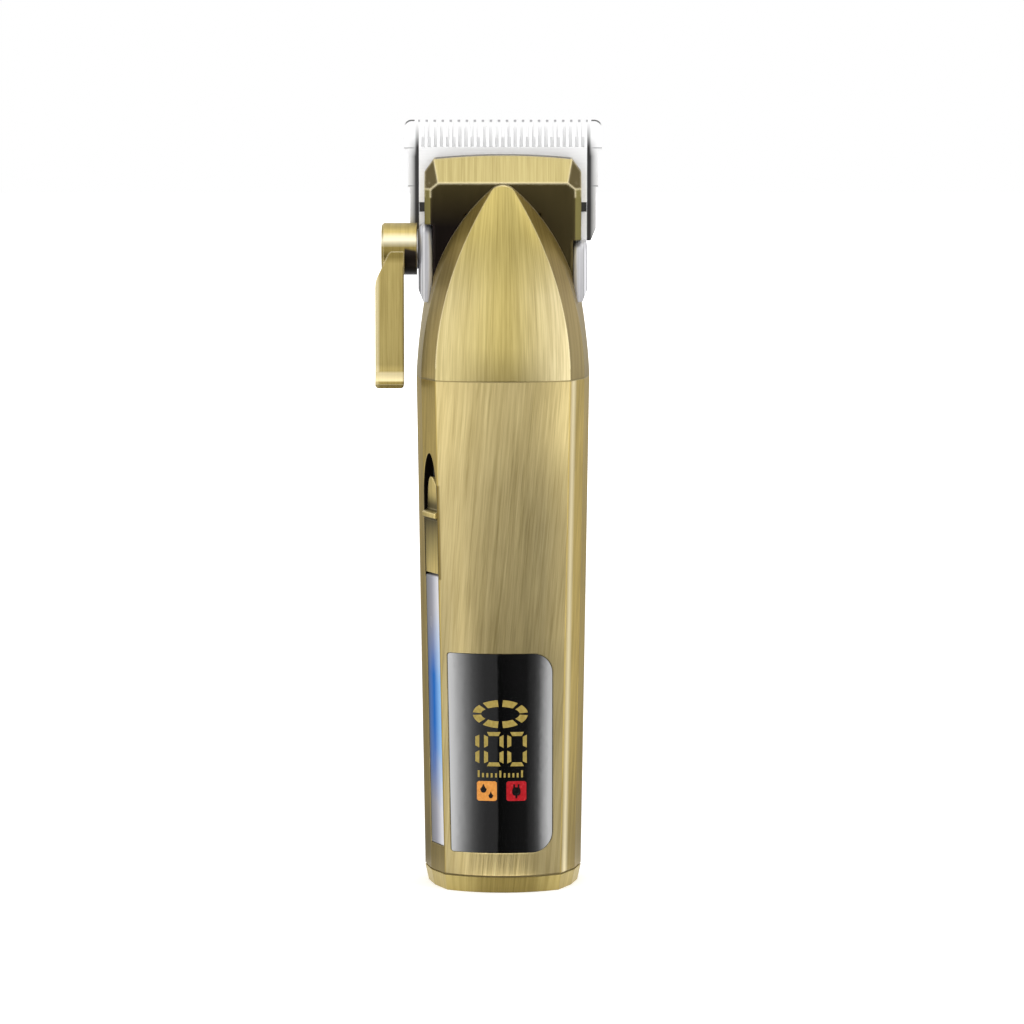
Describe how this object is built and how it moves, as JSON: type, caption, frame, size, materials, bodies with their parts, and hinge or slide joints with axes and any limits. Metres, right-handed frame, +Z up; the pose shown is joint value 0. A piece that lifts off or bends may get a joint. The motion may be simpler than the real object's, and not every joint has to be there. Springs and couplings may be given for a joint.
{
  "type": "hair clipper",
  "caption": "Cordless hair clipper with a faceted brushed body in antique brass finish, toothed steel blades, taper lever, slide switch, light strip and dark display",
  "frame": {"origin": "the middle of the flat underside of the bottom cap, on the motor's side-to-side centre line", "axes": "+Z runs up to the blade tips, -Y is the thumb side with the display, +X is to the right seen from that side, so the taper lever is at -X"},
  "size_m": [0.0523, 0.0352, 0.1775],
  "materials": {
    "brass_body": "brushed alloy with an antique brass finish",
    "brass_lever": "satin alloy with an antique brass finish",
    "chrome_wall": "bright plated",
    "blade_steel": "ground hard steel",
    "screw_steel": "plain bright steel",
    "motor_steel": "zinc-plated can",
    "black_plastic": "moulded black",
    "lens_black": "smoked gloss",
    "light_blue": "clear light guide lit blue",
    "lamp_white": "lamp chips",
    "board_green": "circuit board",
    "module_black": "display block",
    "seal_rubber": "soft gasket",
    "cell_wrap": "shrink-wrapped cell",
    "drive_brass": "turned",
    "lead_red": "insulated wire"
  },
  "bodies": {
    "housing": {"back_cover": "brass_body", "battery_cell": "cell_wrap", "battery_tabs": "screw_steel", "blade_chassis": "chrome_wall", "blade_screws": "screw_steel", "board_screws": "screw_steel", "bottom_cap": "brass_body", "bottom_seal": "seal_rubber", "cap_screws": "screw_steel", "charge_port": "screw_steel", "chassis_screws": "screw_steel", "cover_screws": "screw_steel", "display_lens": "lens_black", "display_module": "module_black", "fixed_blade": "blade_steel", "front_cover": "brass_body", "head_plate": "brass_body", "inner_frame": "black_plastic", "light_board": "board_green", "light_strip": "light_blue", "main_board": "board_green", "motor_bell": "black_plastic", "motor_can": "motor_steel", "motor_leads": "lead_red", "motor_mount": "black_plastic", "motor_screws": "screw_steel", "motor_terminals": "drive_brass", "nose_cover": "brass_body", "slide_screws": "screw_steel", "strip_lamps": "lamp_white", "switch_block": "black_plastic", "switch_tray": "black_plastic"},
    "lever": {"taper_lever": "brass_lever", "lever_shaft": "screw_steel", "lever_washer": "screw_steel", "lever_clip": "screw_steel"},
    "taper": {"taper_slide": "screw_steel", "tension_spring": "screw_steel"},
    "cutter": {"cutter_blade": "blade_steel", "cutter_carrier": "black_plastic"},
    "rotor": {"motor_shaft": "screw_steel", "drive_cam": "drive_brass", "cam_bearing": "screw_steel"},
    "switch": {"switch_slider": "brass_lever", "switch_link": "black_plastic"}
  },
  "joints": [
    {"name": "lever_hinge", "type": "hinge", "parent": "housing", "child": "lever", "pos_m": [-0.024, -0.0005, 0.148], "axis": [-1, 0, 0], "range_deg": [0, 60]},
    {"name": "taper_travel", "type": "slide", "parent": "housing", "child": "taper", "axis": [0, 0, 1], "range_m": [0, 0.0012]},
    {"name": "cutter_swing", "type": "slide", "parent": "taper", "child": "cutter", "axis": [1, 0, 0], "range_m": [-0.0015, 0.0015]},
    {"name": "motor_spin", "type": "hinge", "parent": "housing", "child": "rotor", "pos_m": [0, -0.003, 0.12], "axis": [0, 0, 1], "continuous": true},
    {"name": "switch_travel", "type": "slide", "parent": "housing", "child": "switch", "axis": [-0.0197, -0.0094, 0.9998], "range_m": [0, 0.0055]}
  ],
  "couplings": [
    {"joint": "lever_hinge", "follows": "taper_travel", "rad_per_m": 872.66}
  ]
}
